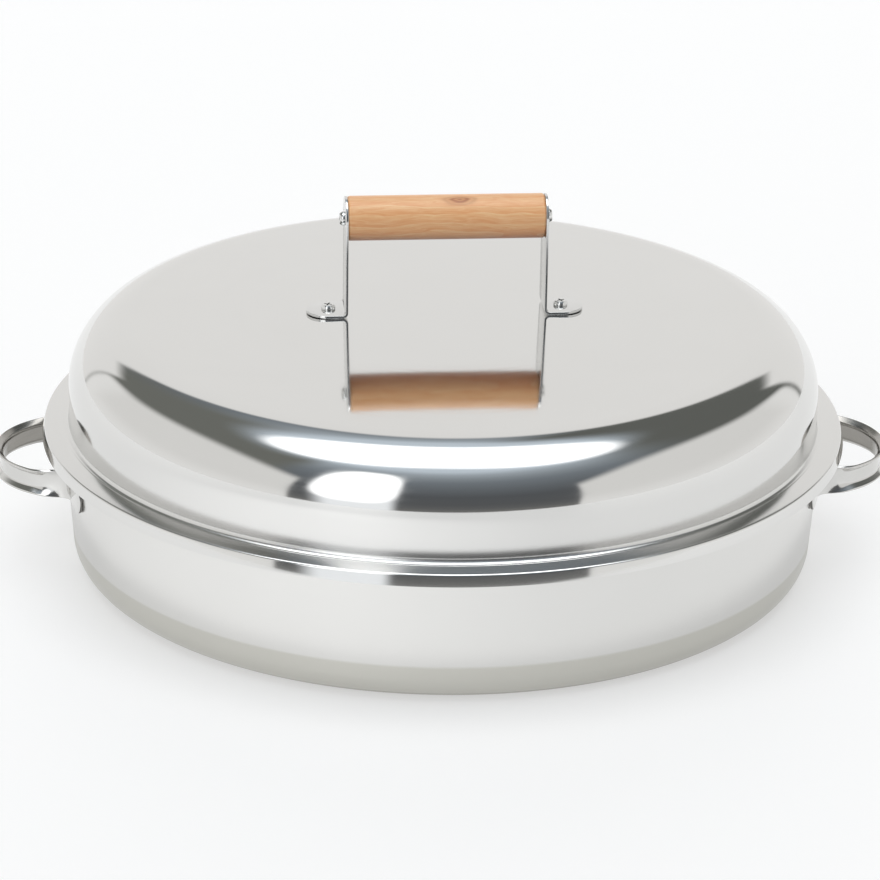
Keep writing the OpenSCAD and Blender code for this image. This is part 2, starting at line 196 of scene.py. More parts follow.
def steel(name, light, dark, gloss, lines, cloud_scale, line_bump, wave_bump, rings=False):
    finish = bpy.data.materials.new(name)
    finish.use_nodes = True
    tree = finish.node_tree
    shader = tree.nodes["Principled BSDF"]
    place = tree.nodes.new("ShaderNodeTexCoord").outputs["Object"]
    spot = place
    if rings:
        axes = tree.nodes.new("ShaderNodeSeparateXYZ")
        feed(tree, axes, Vector=place)
        radius = add_node(tree, "ShaderNodeVectorMath", operation="LENGTH")
        flat = tree.nodes.new("ShaderNodeCombineXYZ")
        feed(tree, flat, X=axes.outputs["X"], Y=axes.outputs["Y"])
        feed(tree, radius, Vector=flat.outputs["Vector"])
        along = tree.nodes.new("ShaderNodeCombineXYZ")
        feed(tree, along, X=axes.outputs["X"], Y=axes.outputs["Y"], Z=radius.outputs["Value"])
        spot = along.outputs["Vector"]
    stretch = tree.nodes.new("ShaderNodeMapping")
    feed(tree, stretch, Vector=spot, Scale=lines)
    marks = add_node(tree, "ShaderNodeGroup", node_tree=polish)
    feed(tree, marks, Lines_at=stretch.outputs["Vector"], Clouds_at=place, Cloud_scale=cloud_scale)
    cloud_share = 0.7
    line_share = 0.3
    line_marks = node_sum(tree, "MULTIPLY", marks.outputs["Lines"], line_share)
    all_marks = node_sum(tree, "MULTIPLY_ADD", marks.outputs["Clouds"], cloud_share, line_marks)
    tone = add_node(tree, "ShaderNodeMix", data_type="RGBA")
    feed(tree, tone, Factor=all_marks, A=dark, B=light)
    rough = tree.nodes.new("ShaderNodeMapRange")
    feed(tree, rough, Value=marks.outputs["Lines"], From_Min=0.3, From_Max=0.7)
    feed(tree, rough, To_Min=gloss[0], To_Max=gloss[1])
    fine = tree.nodes.new("ShaderNodeBump")
    feed(tree, fine, Strength=1.0, Distance=line_bump * mm, Height=marks.outputs["Lines"])
    broad = tree.nodes.new("ShaderNodeBump")
    feed(tree, broad, Strength=1.0, Distance=wave_bump * mm, Height=marks.outputs["Waves"])
    feed(tree, broad, Normal=fine.outputs["Normal"])
    feed(tree, shader, Base_Color=tone.outputs["Result"], Roughness=rough.outputs["Result"])
    feed(tree, shader, Metallic=1.0, Normal=broad.outputs["Normal"])
    return finish


pan_finish = steel("pan_polish", (0.80, 0.795, 0.78, 1), (0.74, 0.735, 0.72, 1), (0.16, 0.24),
                   (5, 5, 900), 9, 0.004, 0.3)
pan_tree = pan_finish.node_tree
pan_shader = pan_tree.nodes["Principled BSDF"]
pan_axes = pan_tree.nodes.new("ShaderNodeSeparateXYZ")
feed(pan_tree, pan_axes, Vector=pan_tree.nodes.new("ShaderNodeTexCoord").outputs["Object"])
# Painted shade: a crisp darker band over the base corner, standing in for the shaded floor near the pan that
# the corner reflects.
painted_shade_band = (base_corner + 7.6, base_corner + 5.4, (0.86, 0.855, 0.81, 1))
# Painted contact shadow: a thin darker line along the foot where the pan stands on the floor.
painted_contact_shadow = (4.6, 3.2, (0.6, 0.59, 0.56, 1))
for top, low, tone in (painted_shade_band, painted_contact_shadow):
    band = add_node(pan_tree, "ShaderNodeMapRange", interpolation_type="SMOOTHSTEP")
    feed(pan_tree, band, Value=pan_axes.outputs["Z"], From_Min=top * mm, From_Max=low * mm)
    band_tone = add_node(pan_tree, "ShaderNodeMix", data_type="RGBA", blend_type="MULTIPLY")
    feed(pan_tree, band_tone, Factor=band.outputs["Result"], B=tone)
    feed(pan_tree, band_tone, A=pan_shader.inputs["Base Color"].links[0].from_socket)
    feed(pan_tree, pan_shader, Base_Color=band_tone.outputs["Result"])
pan_shell = spun("pan_body", pan_section, 360, pan_finish)
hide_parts("pan_shell")
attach(pan_shell, "pan")


# Pan handles
# Two loops of polished stainless strip with both edges turned out as lips; their inner faces and tab ends
# carry painted shade.
# Each is bent to a half round, flattened at its two round ends and spot-welded to the wall by them.
strap_h = 15.4
strap_t = 1.6
web_h = 6.2
lip_angle = math.radians(50)
lip_bend = 1.6
bend_len = lip_angle * (lip_bend + strap_t / 2)
lip_len = ((strap_h - web_h) / 2 - (lip_bend + strap_t) * math.sin(lip_angle)) / math.cos(lip_angle)
strap_w = web_h + 2 * (bend_len + lip_len)
strap_z = 56.5
loop_r = 41.7
loop_inset = 5.0
loop_x = wall_r - (pan_h - strap_z) * lean_tan - loop_inset
root_bend = 8.0
tab_len = 23.0
tab_round = 9.5
weld_gap = 0.25
tab_top_r = wall_r - (pan_h - strap_z - strap_w / 2) * lean_tan
root_r = tab_top_r + weld_gap + strap_t / 2
root_x = ((root_r + root_bend) ** 2 + loop_x ** 2 - (loop_r + root_bend) ** 2) / (2 * loop_x)
root_y = math.sqrt((root_r + root_bend) ** 2 - root_x ** 2)
root_angle = math.atan2(root_y, root_x)
loop_angle = math.atan2(root_y, root_x - loop_x)


def strap_stations():
    half = []
    fade_len = 26
    root_len = root_bend * (loop_angle - root_angle)
    for i in range(65):
        a = loop_angle * i / 64
        gone = max(0.0, 1 - (loop_r * (loop_angle - a) + root_len) / fade_len)
        flat = gone ** 2 * (3 - 2 * gone)
        half.append((loop_x + loop_r * math.cos(a), loop_r * math.sin(a), a, flat, 1.0))
    for i in range(1, 25):
        a = loop_angle + (root_angle - loop_angle) * i / 24
        gone = 1 - root_len * (1 - i / 24) / fade_len
        flat = gone ** 2 * (3 - 2 * gone)
        x = root_x - root_bend * math.cos(a)
        y = root_y - root_bend * math.sin(a)
        half.append((x, y, a, flat, 1.0))
    run = tab_len - tab_round
    for i in range(1, 9):
        a = root_angle + run * i / 8 / root_r
        half.append((root_r * math.cos(a), root_r * math.sin(a), a, 1.0, 1.0))
    for i in range(1, 25):
        turn = math.pi / 2 * i / 24.2
        a = root_angle + (run + tab_round * math.sin(turn)) / root_r
        tall = min(1.0, tab_round * math.cos(turn) * 2 / strap_w)
        half.append((root_r * math.cos(a), root_r * math.sin(a), a, 1.0, tall))
    return [(x, -y, -a, f, t) for x, y, a, f, t in reversed(half[1:])] + half


def strap_ring(flat, tall):
    turn = max(lip_angle * (1 - flat), 0.001)
    grown = min(1.0, flat / 0.4)
    web = web_h / 2 * (1 - grown)
    lip = lip_len * (1 - grown) + 0.8 * grown
    curve = strap_w / 2 - web - lip
    swing = curve / turn
    half = [(0.0, web * i / 4, 0.0, strap_t / 2) for i in range(4)]
    for i in range(13):
        a = turn * i / 12
        half.append((swing - swing * math.cos(a), web + swing * math.sin(a), a, strap_t / 2))
    end_x, end_z, a, thick = half[-1]
    edge = 0.5 - 0.3 * flat
    for i in range(1, 13):
        far = lip * math.sin(math.pi / 2 * i / 12)
        near = max(0.0, edge - (lip - far))
        thick = strap_t / 2 - edge + math.sqrt(edge ** 2 - near ** 2)
        half.append((end_x + far * math.sin(a), end_z + far * math.cos(a), a, thick))
    line = [(x, -z, -a, t) for x, z, a, t in reversed(half[1:])] + half
    ring = []
    for side, points in ((1, line), (-1, reversed(line))):
        for x, z, a, t in points:
            thick = t * (0.1 + 0.9 * tall) if side > 0 else t
            height = (z - side * t * math.sin(a)) * tall
            lean = flat * (strap_w / 2 - height) * lean_tan
            ring.append((x + side * thick * math.cos(a) - lean, height))
    return ring


def strap_mesh(name, side):
    rings = []
    for x, y, a, flat, tall in strap_stations():
        ring = []
        for u, v in strap_ring(flat, tall):
            px = side * (x + u * math.cos(a))
            ring.append((px * mm, (y + u * math.sin(a)) * mm, (strap_z + v) * mm))
        rings.append(ring)
    count = len(rings[0])
    last = len(rings) - 1
    faces = [tuple(range(count)), tuple(range(last * count, (last + 1) * count))]
    face_finish = [1, 1]
    for i in range(last):
        for j in range(count):
            k = (j + 1) % count
            faces.append((i * count + j, i * count + k, (i + 1) * count + k, (i + 1) * count + j))
            # The end caps and the edge faces along the tabs take the dark painted end shade (slot 1).
            cut = k % (count // 2) == 0 and min(i, last - 1 - i) < 17
            # The inner half of the section takes the darker inside copy of the steel, painted shade (slot 2).
            face_finish.append(1 if cut else 2 if j >= count // 2 else 0)
    mesh = bpy.data.meshes.new(name)
    mesh.from_pydata([p for ring in rings for p in ring], [], faces)
    mesh.polygons.foreach_set("material_index", face_finish)
    tidy_mesh(mesh, 40)
    return mesh


strap_finish = steel("strap_polish", (0.75, 0.745, 0.73, 1), (0.64, 0.635, 0.62, 1), (0.08, 0.16),
                     (10, 10, 420), 30, 0.03, 0.2)
# Painted shade: a very dark steel on the strap ends, standing in for the shade in the gap where the tabs meet
# the wall.
end_shade_finish = steel("painted_end_shade", (0.26, 0.255, 0.245, 1), (0.16, 0.155, 0.15, 1), (0.35, 0.5),
                     (90, 90, 300), 80, 0.02, 0.1)
# Painted shade: a darker copy of the strap steel for the inner faces, standing in for the dark surroundings
# they reflect.
inner_shade_finish = steel("strap_inside_shade", (0.50, 0.485, 0.46, 1), (0.36, 0.35, 0.33, 1), (0.12, 0.24),
                     (10, 10, 700), 30, 0.03, 0.2)
for word, side in (("left", -1), ("right", 1)):
    handle = new_piece(word + "_strap", strap_mesh(word + "_strap", side))
    for finish in (strap_finish, end_shade_finish, inner_shade_finish):
        handle.data.materials.append(finish)
    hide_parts(word + "_pan_handle")
    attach(handle, "pan")


# Lid shell
# One pressed stainless sheet: a nearly flat crown, a round shoulder, a cove, a flange and a flared skirt.
# It is spun and mirror polished, and its surface keeps faint cloudy marks of the polishing.
lid_t = 0.8
skirt_h = 6.5
skirt_bend = 1.4
skirt_flare = 12
flange_z = pan_h + lid_t
cove_r = 3.2
cove_x = rim_r - 11.1
bulge_step = 3
bulge_r = cove_x - bulge_step
bulge_h = 21.3
bulge_z = flange_z + bulge_h
shoulder_r = 38.2
crown_rise = 3.9
low_r = (bulge_step ** 2 + (bulge_h - cove_r) ** 2 - cove_r ** 2) / (2 * (cove_r - bulge_step))
low_angle = math.degrees(math.atan2(bulge_h - cove_r, bulge_step + low_r))
dome_z = bulge_z + shoulder_r + crown_rise
crown_x = bulge_r - shoulder_r
crown_d = dome_z - bulge_z
crown_r = (crown_x ** 2 + crown_d ** 2 - shoulder_r ** 2) / (2 * crown_rise)
crown_z = dome_z - crown_r
crown_angle = math.degrees(math.atan2(bulge_z - crown_z, crown_x))
edge_x = rim_r - skirt_bend
edge_z = flange_z - skirt_bend
flare_sin = math.sin(math.radians(skirt_flare))
flare_cos = math.cos(math.radians(skirt_flare))
skirt_len = (skirt_h - skirt_bend + skirt_bend * flare_sin) / flare_cos
skirt_x = edge_x + skirt_bend * flare_cos + skirt_len * flare_sin
skirt_z = edge_z + skirt_bend * flare_sin - skirt_len * flare_cos
lid_section = arc(0, crown_z, crown_r, 90, crown_angle, 24)
lid_section += arc(crown_x, bulge_z, shoulder_r, crown_angle, 0, 48)[1:]
lid_section += arc(bulge_r - low_r, bulge_z, low_r, 0, -low_angle, 16)[1:]
lid_section += arc(cove_x, flange_z + cove_r, cove_r, 180 - low_angle, 270, 16)[1:]
lid_section += arc(edge_x, edge_z, skirt_bend, 90, skirt_flare, 8)
lid_section += [(skirt_x, skirt_z), (skirt_x - lid_t * flare_cos, skirt_z - lid_t * flare_sin)]
lid_section += arc(edge_x, edge_z, skirt_bend - lid_t, skirt_flare, 90, 4)
lid_section += arc(cove_x, flange_z + cove_r, cove_r + lid_t, 270, 180 - low_angle, 8)
lid_section += arc(bulge_r - low_r, bulge_z, low_r - lid_t, -low_angle, 0, 8)[1:]
lid_section += arc(crown_x, bulge_z, shoulder_r - lid_t, 0, crown_angle, 20)[1:]
lid_section += arc(0, crown_z, crown_r - lid_t, crown_angle, 90, 8)[1:]
lid_finish = steel("lid_polish", (0.765, 0.762, 0.752, 1), (0.725, 0.722, 0.71, 1), (0.05, 0.09),
                   (4, 4, 600), 14, 0.001, 0.25, rings=True)
lid_tree = lid_finish.node_tree
lid_shader = lid_tree.nodes["Principled BSDF"]
lid_gloss = lid_shader.inputs["Roughness"].links[0].from_socket
lid_height = lid_tree.nodes.new("ShaderNodeSeparateXYZ")
feed(lid_tree, lid_height, Vector=lid_tree.nodes.new("ShaderNodeTexCoord").outputs["Object"])
unpolished = add_node(lid_tree, "ShaderNodeMapRange", interpolation_type="SMOOTHSTEP")
feed(lid_tree, unpolished, Value=lid_height.outputs["Z"], From_Min=(flange_z + 17) * mm)
feed(lid_tree, unpolished, From_Max=(flange_z + 5) * mm, To_Min=0.0, To_Max=0.16)
skirt_gloss = add_node(lid_tree, "ShaderNodeMapRange")
feed(lid_tree, skirt_gloss, Value=lid_height.outputs["Z"], From_Min=(flange_z - 1.2) * mm)
feed(lid_tree, skirt_gloss, From_Max=(flange_z + 0.6) * mm)
skirt_mask = skirt_gloss.outputs["Result"]
lid_rough = node_sum(lid_tree, "MULTIPLY_ADD", unpolished.outputs["Result"], skirt_mask, lid_gloss)
feed(lid_tree, lid_shader, Roughness=lid_rough)
lid_flat = lid_tree.nodes.new("ShaderNodeCombineXYZ")
feed(lid_tree, lid_flat, X=lid_height.outputs["X"], Y=lid_height.outputs["Y"])
lid_radius = add_node(lid_tree, "ShaderNodeVectorMath", operation="LENGTH")
feed(lid_tree, lid_radius, Vector=lid_flat.outputs["Vector"])
flange_slope = math.tan(math.radians(11))
flange_drop = lid_tree.nodes.new("ShaderNodeMapRange")
feed(lid_tree, flange_drop, Value=lid_radius.outputs["Value"], From_Min=cove_x * mm, From_Max=edge_x * mm)
feed(lid_tree, flange_drop, To_Min=(edge_x - cove_x) * mm * flange_slope, To_Max=0.0)
flange_fall = lid_tree.nodes.new("ShaderNodeBump")
feed(lid_tree, flange_fall, Strength=1.0, Distance=1.0, Height=flange_drop.outputs["Result"])
feed(lid_tree, flange_fall, Normal=lid_shader.inputs["Normal"].links[0].from_socket)
feed(lid_tree, lid_shader, Normal=flange_fall.outputs["Normal"])
lid_shell = spun("lid_dome", lid_section, 384, lid_finish)
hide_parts("lid_shell")
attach(lid_shell, "lid")


# Lid brackets
# Two strips of polished stainless sheet with round ends, each bent to an L.
# The foot is screwed to the lid, and the leg carries one end of the wooden grip.
lid_angle = math.radians(2.5)
lid_turn = Matrix.Rotation(lid_angle, 4, "Z")
strip_w = 25.0
strip_t = 1.5
strip_bend = 1.6
leg_x = 55.0
screw_reach = 9.0
foot_gap = 0.06
grip_rise = 54.4
screw_x = leg_x + strip_t + screw_reach
foot_z = round(crown_z + math.sqrt(crown_r ** 2 - leg_x ** 2) + foot_gap, 2)
grip_z = dome_z + grip_rise


def strip_mesh(name, side):
    shape = bmesh.new()
    half = strip_w / 2
    mid = strip_bend + strip_t / 2
    turn_x = leg_x + strip_t + strip_bend
    turn_z = foot_z + strip_t + strip_bend
    foot = []
    for i in range(33):
        a = math.radians(-90 + 180 * i / 32)
        foot.append(shape.verts.new((screw_x + half * math.cos(a), half * math.sin(a), turn_z - mid)))
    rows = []
    for i in range(11):
        a = math.radians(270 - 9 * i)
        x = turn_x + mid * math.cos(a)
        z = turn_z + mid * math.sin(a)
        rows.append((shape.verts.new((x, half, z)), shape.verts.new((x, -half, z))))
    leg = []
    for i in range(33):
        a = math.radians(180 * i / 32)
        leg.append(shape.verts.new((turn_x - mid, -half * math.cos(a), grip_z + half * math.sin(a))))
    shape.faces.new(foot + list(rows[0]))
    for low, high in zip(rows, rows[1:]):
        shape.faces.new((low[0], high[0], high[1], low[1]))
    shape.faces.new([rows[-1][1]] + leg + [rows[-1][0]])
    for vert in shape.verts:
        vert.co = Vector((side * vert.co.x, vert.co.y, vert.co.z)) * mm
    bmesh.ops.recalc_face_normals(shape, faces=shape.faces)
    mesh = bpy.data.meshes.new(name)
    shape.to_mesh(mesh)
    shape.free()
    mesh.transform(lid_turn)
    return mesh


def finish_modifiers(piece, crease):
    bpy.context.view_layer.update()
    graph = bpy.context.evaluated_depsgraph_get()
    mesh = bpy.data.meshes.new_from_object(piece.evaluated_get(graph), depsgraph=graph)
    piece.modifiers.clear()
    piece.data = mesh
    mesh.name = piece.name
    tidy_mesh(mesh, crease)


bracket_finish = steel("bracket_polish", (0.77, 0.77, 0.765, 1), (0.68, 0.68, 0.67, 1), (0.10, 0.20),
                       (300, 20, 20), 40, 0.004, 0.1)
for word, side in (("left", -1), ("right", 1)):
    bracket = new_piece(word + "_strip", strip_mesh(word + "_strip", side))
    bracket.data.materials.append(bracket_finish)
    sheet = bracket.modifiers.new("sheet", "SOLIDIFY")
    sheet.thickness = strip_t * mm
    sheet.offset = 0
    edge = bracket.modifiers.new("edge", "BEVEL")
    edge.width = 0.3 * mm
    edge.segments = 3
    edge.limit_method = "ANGLE"
    edge.angle_limit = math.radians(60)
    finish_modifiers(bracket, 30)
    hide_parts(word + "_bracket")
    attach(bracket, "lid")


# Wooden grip
# A turned bar of light reddish wood with its grain along the bar, sanded and lightly oiled.
# It sits between the two brackets and is held by one wood screw at each end.
grip_d = 25.0
grip_len = 110.0
grip_round = 1.5
end_z = grip_len / 2
grip_section = [(0, -end_z)]
grip_section += arc(grip_d / 2 - grip_round, -end_z + grip_round, grip_round, -90, 0, 8)
grip_section += [(grip_d / 2, -end_z + grip_len * i / 20) for i in range(2, 19)]
grip_section += arc(grip_d / 2 - grip_round, end_z - grip_round, grip_round, 0, 90, 8)
grip_section += [(0, end_z)]
grip_wood = bpy.data.materials.new("grip_wood")
grip_wood.use_nodes = True
wood = grip_wood.node_tree
wood_shader = wood.nodes["Principled BSDF"]
wood_place = wood.nodes.new("ShaderNodeTexCoord").outputs["Object"]
wood_turn = wood.nodes.new("ShaderNodeMapping")
feed(wood, wood_turn, Vector=wood_place, Location=(0, 0, -grip_z * mm), Rotation=(0, 0, -lid_angle))
wood_bend = wood.nodes.new("ShaderNodeTexNoise")
wood_slow = wood.nodes.new("ShaderNodeMapping")
feed(wood, wood_slow, Vector=wood_turn.outputs["Vector"], Scale=(26, 85, 85))
feed(wood, wood_bend, Vector=wood_slow.outputs["Vector"], Scale=1.0, Detail=2.0)
wood_shift = add_node(wood, "ShaderNodeVectorMath", operation="MULTIPLY_ADD")
wood.links.new(wood_bend.outputs["Color"], wood_shift.inputs[0])
wood_shift.inputs[1].default_value = (0.0, 0.008, 0.008)
wood.links.new(wood_turn.outputs["Vector"], wood_shift.inputs[2])
wood_rings = add_node(wood, "ShaderNodeTexWave", wave_type="RINGS", rings_direction="X", wave_profile="SAW")
wood_pith = wood.nodes.new("ShaderNodeMapping")
feed(wood, wood_pith, Vector=wood_shift.outputs["Vector"], Location=(0, 0.02, 0.024))
feed(wood, wood_pith, Rotation=(0, 0.02, 0.05))
feed(wood, wood_rings, Vector=wood_pith.outputs["Vector"], Scale=62.0, Distortion=1.2, Detail=3.0)
wood_fibre = wood.nodes.new("ShaderNodeTexNoise")
wood_thread = wood.nodes.new("ShaderNodeMapping")
feed(wood, wood_thread, Vector=wood_shift.outputs["Vector"], Scale=(60, 1500, 1500))
feed(wood, wood_fibre, Vector=wood_thread.outputs["Vector"], Scale=1.0, Detail=3.0)
wood_tone = add_node(wood, "ShaderNodeMix", data_type="RGBA")
feed(wood, wood_tone, Factor=wood_rings.outputs["Fac"])
feed(wood, wood_tone, A=(0.93, 0.50, 0.235, 1), B=(0.99, 0.64, 0.345, 1))
wood_grain = add_node(wood, "ShaderNodeMix", data_type="RGBA", blend_type="MULTIPLY")
wood_ramp = wood.nodes.new("ShaderNodeMapRange")
feed(wood, wood_ramp, Value=wood_fibre.outputs["Fac"], From_Min=0.35, From_Max=0.65, To_Min=0.0, To_Max=0.62)
feed(wood, wood_grain, Factor=wood_ramp.outputs["Result"])
feed(wood, wood_grain, A=wood_tone.outputs["Result"], B=(0.89, 0.66, 0.52, 1))
wood_knot_place = wood.nodes.new("ShaderNodeMapping")
feed(wood, wood_knot_place, Vector=wood_shift.outputs["Vector"], Location=(-0.0070, 0.0002, -0.0152))
wood_knot_shape = add_node(wood, "ShaderNodeVectorMath", operation="MULTIPLY")
feed(wood, wood_knot_shape, Vector=wood_knot_place.outputs["Vector"])
wood_knot_shape.inputs[1].default_value = (115, 330, 330)
wood_knot_reach = add_node(wood, "ShaderNodeVectorMath", operation="LENGTH")
feed(wood, wood_knot_reach, Vector=wood_knot_shape.outputs["Vector"])
wood_knot = add_node(wood, "ShaderNodeMapRange", interpolation_type="SMOOTHSTEP")
feed(wood, wood_knot, Value=wood_knot_reach.outputs["Value"], From_Min=1.6, From_Max=0.2, To_Max=0.95)
eye_rings = 12
wood_eye_turn = node_sum(wood, "MULTIPLY", wood_knot_reach.outputs["Value"], eye_rings)
wood_eye_wave = node_sum(wood, "COSINE", wood_eye_turn)
wood_eye_band = wood.nodes.new("ShaderNodeMapRange")
feed(wood, wood_eye_band, Value=wood_eye_wave, From_Min=-1.0, To_Min=0.5)
wood_eye = node_sum(wood, "MULTIPLY", wood_knot.outputs["Result"], wood_eye_band.outputs["Result"])
wood_spot = add_node(wood, "ShaderNodeMix", data_type="RGBA")
feed(wood, wood_spot, Factor=wood_eye)
feed(wood, wood_spot, A=wood_grain.outputs["Result"], B=(0.42, 0.12, 0.035, 1))
wood_axes = wood.nodes.new("ShaderNodeSeparateXYZ")
feed(wood, wood_axes, Vector=wood_turn.outputs["Vector"])
# Painted shade: the lower side of the bar is darkened, standing in for the shade under the grip, seen
# directly and in the lid's mirror.
wood_underside_mask = add_node(wood, "ShaderNodeMapRange", interpolation_type="SMOOTHSTEP")
feed(wood, wood_underside_mask, Value=wood_axes.outputs["Z"], From_Min=-2 * mm, From_Max=-12 * mm)
wood_underside_shade = add_node(wood, "ShaderNodeMix", data_type="RGBA", blend_type="MULTIPLY")
feed(wood, wood_underside_shade, Factor=wood_underside_mask.outputs["Result"])
feed(wood, wood_underside_shade, A=wood_spot.outputs["Result"], B=(0.56, 0.43, 0.40, 1))
feed(wood, wood_shader, Base_Color=wood_underside_shade.outputs["Result"])
feed(wood, wood_shader, Roughness=0.42, Coat_Weight=0.35, Coat_Roughness=0.3)
wood_relief = wood.nodes.new("ShaderNodeBump")
feed(wood, wood_relief, Strength=0.4, Distance=0.05 * mm, Height=wood_fibre.outputs["Fac"])
feed(wood, wood_shader, Normal=wood_relief.outputs["Normal"])
grip = spun("grip_bar", grip_section, 96, grip_wood)
grip.data.transform(lid_turn @ Matrix.Translation((0, 0, grip_z * mm)) @ Matrix.Rotation(math.pi / 2, 4, "Y"))
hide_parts("wooden_grip")
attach(grip, "lid")


# Screws of the lid handle
# Bright pan-head screws with a cross recess: two machine screws in the lid and two wood screws in the grip.
# Each head bears on its bracket.
head_d = 8.0
head_h = 2.8
side_share = 0.38
dome_share = 0.48
side_h = head_h * side_share
head_dome = head_h - side_h + head_h * dome_share
ball_r = ((head_d / 2) ** 2 + head_dome ** 2) / (2 * head_dome)
washer_r = 4.5
washer_t = 0.8
washer_gap = 0.03
washer_z = round(crown_z + math.sqrt((crown_r - lid_t) ** 2 - (screw_x + washer_r) ** 2) - washer_gap, 2)
nut_h = 3.2
bolt_spare = 1.6
bolt_len = foot_z + strip_t - washer_z + washer_t + nut_h + bolt_spare


def screw_section(shank_r, shank_len, pitch):
    ball_z = side_h + head_dome - ball_r
    top_angle = math.degrees(math.asin((head_h - ball_z) / ball_r))
    low_side = math.sqrt(ball_r ** 2 - (head_d / 2) ** 2)
    side_angle = math.degrees(math.atan2(low_side, head_d / 2))
    section = [(0, head_h)] + arc(0, ball_z, ball_r, top_angle, side_angle, 12)
    section += [(head_d / 2, 0.25), (head_d / 2 - 0.25, 0), (shank_r, 0)]
    turns = int(shank_len / pitch)
    for i in range(turns):
        z = -i * pitch
        section += [(shank_r, z - 0.15 * pitch), (shank_r * 0.84, z - 0.5 * pitch)]
        section += [(shank_r, z - 0.85 * pitch)]
    section += [(shank_r * 0.6, -shank_len), (0, -shank_len)]
    return section


screw_finish = steel("screw_polish", (0.82, 0.82, 0.81, 1), (0.70, 0.70, 0.69, 1), (0.10, 0.22),
                     (200, 200, 200), 300, 0.004, 0.05)


def screw(name, place, shank_r, shank_len, pitch):
    piece = spun(name, screw_section(shank_r, shank_len, pitch), 48, screw_finish, 30)
    recess = bmesh.new()
    for a in (0, 90):
        size = Matrix.Diagonal((head_d * 0.58 * mm, head_d * 0.12 * mm, head_h * mm, 1))
        lift = Matrix.Translation((0, 0, head_h * mm))
        bmesh.ops.create_cube(recess, size=1, matrix=Matrix.Rotation(math.radians(a), 4, "Z") @ lift @ size)
    cutter = new_piece(name + "_recess", bpy.data.meshes.new(name + "_recess"))
    recess.to_mesh(cutter.data)
    recess.free()
    cut = piece.modifiers.new("recess", "BOOLEAN")
    cut.object = cutter
    cut.operation = "DIFFERENCE"
    cut.solver = "EXACT"
    cut.use_self = True
    finish_modifiers(piece, 30)
    bpy.data.objects.remove(cutter)
    piece.data.transform(lid_turn @ place)
    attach(piece, "lid")
    return piece


for word, side in (("left", -1), ("right", 1)):
    seat = Matrix.Translation((side * screw_x * mm, 0, (foot_z + strip_t) * mm))
    seat = seat @ Matrix.Rotation(math.radians(24 * side), 4, "Z")
    bolt = screw(word + "_bolt", seat, 2.0, bolt_len, 0.7)
    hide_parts(word + "_lid_screw")
    seat = Matrix.Translation((side * (leg_x + strip_t) * mm, 0, grip_z * mm))
    seat = seat @ Matrix.Rotation(side * math.pi / 2, 4, "Y") @ Matrix.Rotation(math.radians(35), 4, "Z")
    wood_screw = screw(word + "_wood_screw", seat, 1.8, 26.0, 1.4)
    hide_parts(word + "_grip_screw")


# Washers and nuts inside the lid
# Plain bright washers and hexagon nuts that hold the machine screws from below.
# The nuts are cold-headed, so their corners are broken.
for word in ("left", "right"):
    for kind in ("washer", "nut"):
        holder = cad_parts[word + "_lid_" + kind]
        holder.data.materials.clear()
        holder.data.materials.append(screw_finish)
        chamfer = holder.modifiers.new("broken_edges", "BEVEL")
        chamfer.width = (0.12 if kind == "washer" else 0.3) * mm
        chamfer.segments = 2
        chamfer.angle_limit = math.radians(40)


# Drip tray
# A shallow round tray pressed from satin stainless sheet, with a flat rim turned outward.
# It stands loose in the pan over the wood chips and catches the fat that drips from the food.
tray_t = 0.8
tray_h = 15.0
tray_rim = 5.0
tray_corner = 6.0
tray_bend = 1.0
tray_play = 7.4
chip_space = 18.0
tray_z = pan_t + chip_space
tray_r = corner_r - tray_play
tray_wall = tray_r - tray_rim
rim_z = tray_z + tray_h
low_x = tray_wall - tray_corner
tray_section = [(0, tray_z)]
tray_section += arc(low_x, tray_z + tray_corner, tray_corner, -90, 0, 12)
tray_section += arc(tray_wall + tray_bend, rim_z - tray_t - tray_bend, tray_bend, 180, 90, 5)
tray_section += [(tray_r, rim_z - tray_t), (tray_r, rim_z)]
tray_section += arc(tray_wall + tray_bend, rim_z - tray_t - tray_bend, tray_bend + tray_t, 90, 180, 6)
tray_section += arc(low_x, tray_z + tray_corner, tray_corner - tray_t, 0, -90, 12)
tray_section += [(0, tray_z + tray_t)]
tray_finish = steel("tray_satin", (0.74, 0.74, 0.73, 1), (0.64, 0.64, 0.63, 1), (0.28, 0.40),
                    (4, 4, 500), 20, 0.006, 0.3, rings=True)
tray_pan = spun("tray_pan", tray_section, 256, tray_finish)
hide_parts("drip_tray")
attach(tray_pan, "tray")


# Feet of the drip tray
# Four strips of the same sheet bent to channels and spot-welded under the tray.
# Their cut edges are deburred.
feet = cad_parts["tray_feet"]
feet.data.materials.clear()
feet.data.materials.append(tray_finish)
deburred = feet.modifiers.new("deburred_edges", "BEVEL")
deburred.width = 0.25 * mm
deburred.segments = 2
deburred.angle_limit = math.radians(40)


# Ring of the food grate
# A thick bright wire, rolled to a ring and butt-welded; all other wires of the grate are welded to it.
frame_wire = 4.0
ring_inset = 15.0
food_rise = 30.0
ring_r = tray_wall - ring_inset
grate_z = tray_z + tray_t + food_rise
wire_finish = steel("wire_bright", (0.80, 0.80, 0.79, 1), (0.68, 0.68, 0.67, 1), (0.12, 0.22),
                    (60, 60, 60), 60, 0.01, 0.1)
ring_wire = spun("ring_wire", arc(ring_r, grate_z, frame_wire / 2, 0, 360, 20), 256, wire_finish)
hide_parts("grate_ring")
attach(ring_wire, "grate")


